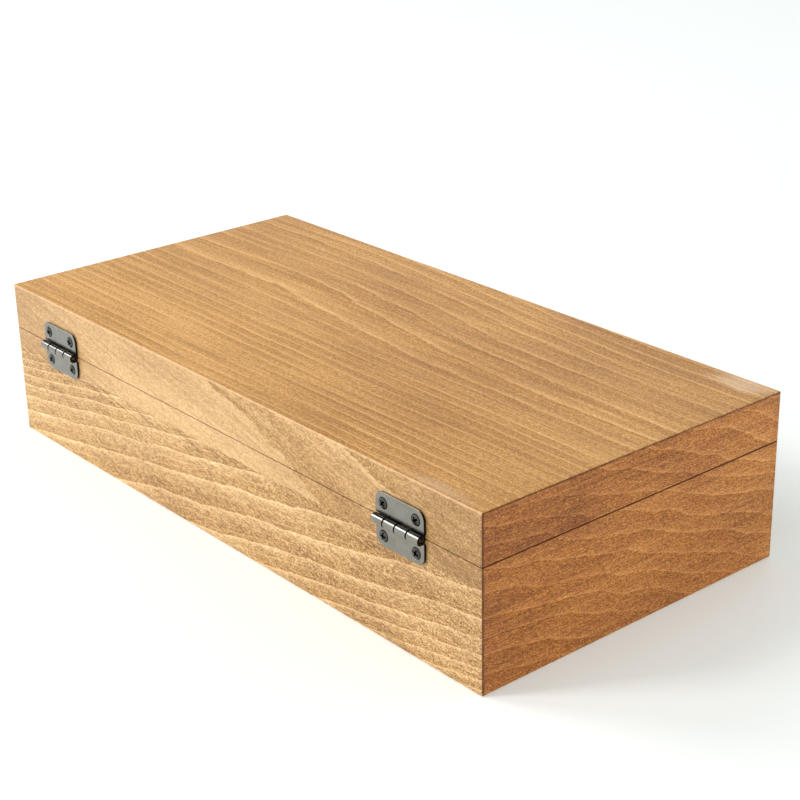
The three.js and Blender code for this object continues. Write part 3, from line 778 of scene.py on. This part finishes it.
def build_case():
    woods = board_woods()
    sides = ("back", AXIS_Y, 1), ("front", AXIS_Y, -1), ("left", AXIS_X, -1), ("right", AXIS_X, 1)
    for side_name, axis, side in sides:
        build_board(f"body_{side_name}_wall", "body", axis, side, woods[side_name], high_rim=BODY_RIM_Z)
        build_board(f"lid_{side_name}_rail", "lid", axis, side, woods[side_name], low_rim=LID_RIM_Z)
    build_board("bottom_panel", "body", AXIS_Z, -1, woods["bottom"])
    build_board("lid_top_panel", "lid", AXIS_Z, 1, woods["top"])


# ---- Hardware ----

def screw_heads():
    """(x, z, radius) round every screw head, a little larger than the head."""
    nodes = [node for body in frame["record"]["behaviour"]["bodies"].values() for node in body]
    boxes = [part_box(node) for node in nodes if "screw" in node]
    return [((low.x + high.x) / 2, (low.z + high.z) / 2, (high.x - low.x) / 2 + HEAD_MARGIN)
            for low, high in boxes]


def eased_hardware(node, body, material, ease, suffix, keep=()):
    """The CAD piece with its facets joined into clean faces and its edges rounded by `ease`, but
    not inside the `keep` circles."""
    mesh = bmesh.new()
    mesh.from_mesh(frame["nodes"][node].data)
    bmesh.ops.remove_doubles(mesh, verts=mesh.verts, dist=WELD)
    bmesh.ops.dissolve_limit(mesh, angle_limit=FLAT, verts=mesh.verts, edges=mesh.edges)
    kept = {v for v in mesh.verts for x, z, r in keep if math.hypot(v.co.x - x, v.co.z - z) < r}
    edges = [e for e in mesh.edges if len(e.link_faces) == 2 and not kept.intersection(e.verts)
             and e.calc_face_angle(0.0) > EASED_FROM]
    bmesh.ops.bevel(mesh, geom=edges, offset=ease, segments=EASE_SEGMENTS, profile=0.5, affect="EDGES",
                    clamp_overlap=True)
    piece = finished(mesh, node + suffix, material)
    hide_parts(node)
    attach(piece, body)
    return piece


def build_hardware():
    plate_roughness, pin_roughness, screw_roughness = 0.16, 0.22, 0.12
    pewter = metal("satin_pewter", PEWTER, plate_roughness)
    hinge_pewter = {side: metal(f"{side}_hinge_pewter", PEWTER, plate_roughness, painted_shade_mask=barrel_painted_shade(side))
                    for side in ("left", "right")}
    pin_metal = metal("dark_pin_steel", PIN_STEEL, pin_roughness, end_tint_and_shade=PIN_END)
    heads = screw_heads()
    for body, nodes in frame["record"]["behaviour"]["bodies"].items():
        for node in nodes:
            if "screw" in node:
                steel = metal(node + "_steel", SCREW_STEEL, screw_roughness, painted_shade_mask=head_painted_shade(node))
                eased_hardware(node, body, steel, SCREW_EASE, "_head")
            elif node.endswith(("pin", "rivet", "stud")):
                eased_hardware(node, body, pin_metal, TURNED_EASE, "_turned")
            elif node.endswith("leaf"):
                side = node.split("_")[0]
                eased_hardware(node, body, hinge_pewter[side], PLATE_EASE, "_plated", heads)
            elif node.endswith(("plate", "hook")):
                eased_hardware(node, body, pewter, PLATE_EASE, "_plated", heads)


# ---- Room ----

def view_axes(azimuth, elevation, roll):
    """Camera right, up and forward axes for a heading, a downward tilt and a roll, in degrees."""
    az, el, ro = map(math.radians, (azimuth, elevation, roll))
    forward = Vector((-math.sin(az) * math.cos(el), math.cos(az) * math.cos(el), -math.sin(el)))
    right = forward.cross(Vector((0, 0, 1))).normalized()
    up = right.cross(forward)
    turned_right = math.cos(ro) * right + math.sin(ro) * up
    return turned_right, turned_right.cross(forward), forward


def build_camera():
    data = bpy.data.cameras.new("camera")
    data.lens = CAMERA_LENS
    data.sensor_width = SENSOR_WIDTH
    data.clip_start = CAMERA_CLIP_START
    camera = bpy.data.objects.new("camera", data)
    right, up, forward = view_axes(CAMERA_AZIMUTH, CAMERA_ELEVATION, CAMERA_ROLL)
    turn = Matrix((right, up, -forward)).transposed().to_4x4()
    camera.matrix_world = Matrix.Translation(CAMERA_PLACE) @ turn
    bpy.context.scene.collection.objects.link(camera)
    bpy.context.scene.camera = camera


def floor_material():
    """Matt and nearly white. Its weak glow lightens the shadow that the case throws."""
    material, n, shader = new_material("pale_floor")
    place, _ = n.object_mm()
    light, dark = FLOOR_COLOURS
    tone = n.noise(place, FLOOR_PATCHES)
    n.put(shader.inputs["Base Color"], n.mix(tone, opaque(dark), opaque(light)))
    shader.inputs["Roughness"].default_value = FLOOR_ROUGHNESS
    shader.inputs["Specular IOR Level"].default_value = FLOOR_SPECULAR
    shader.inputs["Emission Color"].default_value = opaque(FLOOR_GLOW)
    shader.inputs["Emission Strength"].default_value = FLOOR_GLOW_STRENGTH
    return material


def build_floor():
    mesh = bmesh.new()
    bmesh.ops.create_grid(mesh, x_segments=1, y_segments=1, size=FLOOR_HALF)
    data = bpy.data.meshes.new("floor")
    mesh.to_mesh(data)
    mesh.free()
    data.materials.append(floor_material())
    floor = bpy.data.objects.new("floor", data)
    floor.location.z = CASE_LOW.z
    bpy.context.scene.collection.objects.link(floor)


def build_area_light(name, place, size, power, colour):
    data = bpy.data.lights.new(name, "AREA")
    data.size = size
    data.energy = power
    data.color = colour
    light = bpy.data.objects.new(name, data)
    light.location = place
    light.rotation_euler = (LIGHT_TARGET - Vector(place)).to_track_quat("-Z", "Y").to_euler()
    bpy.context.scene.collection.objects.link(light)


def build_world():
    """A pale room, darker overhead, with a dark flag that keeps the tops of the barrels dark."""
    world = bpy.data.worlds.new("studio")
    world.use_nodes = True
    n = Nodes(world.node_tree)
    look = n.node("ShaderNodeTexCoord").outputs["Generated"]
    up = n.node("ShaderNodeSeparateXYZ", Vector=look).outputs["Z"]
    room = n.step(up, OVERHEAD_FROM, OVERHEAD_FULL, ROOM_STRENGTH, OVERHEAD_STRENGTH)
    towards_flag = n.node("ShaderNodeVectorMath", {"operation": "DOT_PRODUCT"})
    n.put(towards_flag.inputs[0], look)
    n.put(towards_flag.inputs[1], FLAG_DIRECTION)
    flag = n.step(towards_flag.outputs["Value"], FLAG_EDGE, FLAG_CORE, 1.0, FLAG_STRENGTH)
    background = world.node_tree.nodes["Background"]
    background.inputs["Color"].default_value = (1.0, 1.0, 1.0, 1.0)
    n.put(background.inputs["Strength"], n.times(room, flag))
    bpy.context.scene.world = world


HARDWOOD = hardwood_group()
bpy.context.scene.view_settings.view_transform = "Standard"
build_camera()
build_case()
build_hardware()
build_floor()
build_world()
for light_name, settings in AREA_LIGHTS.items():
    build_area_light(light_name, *settings)
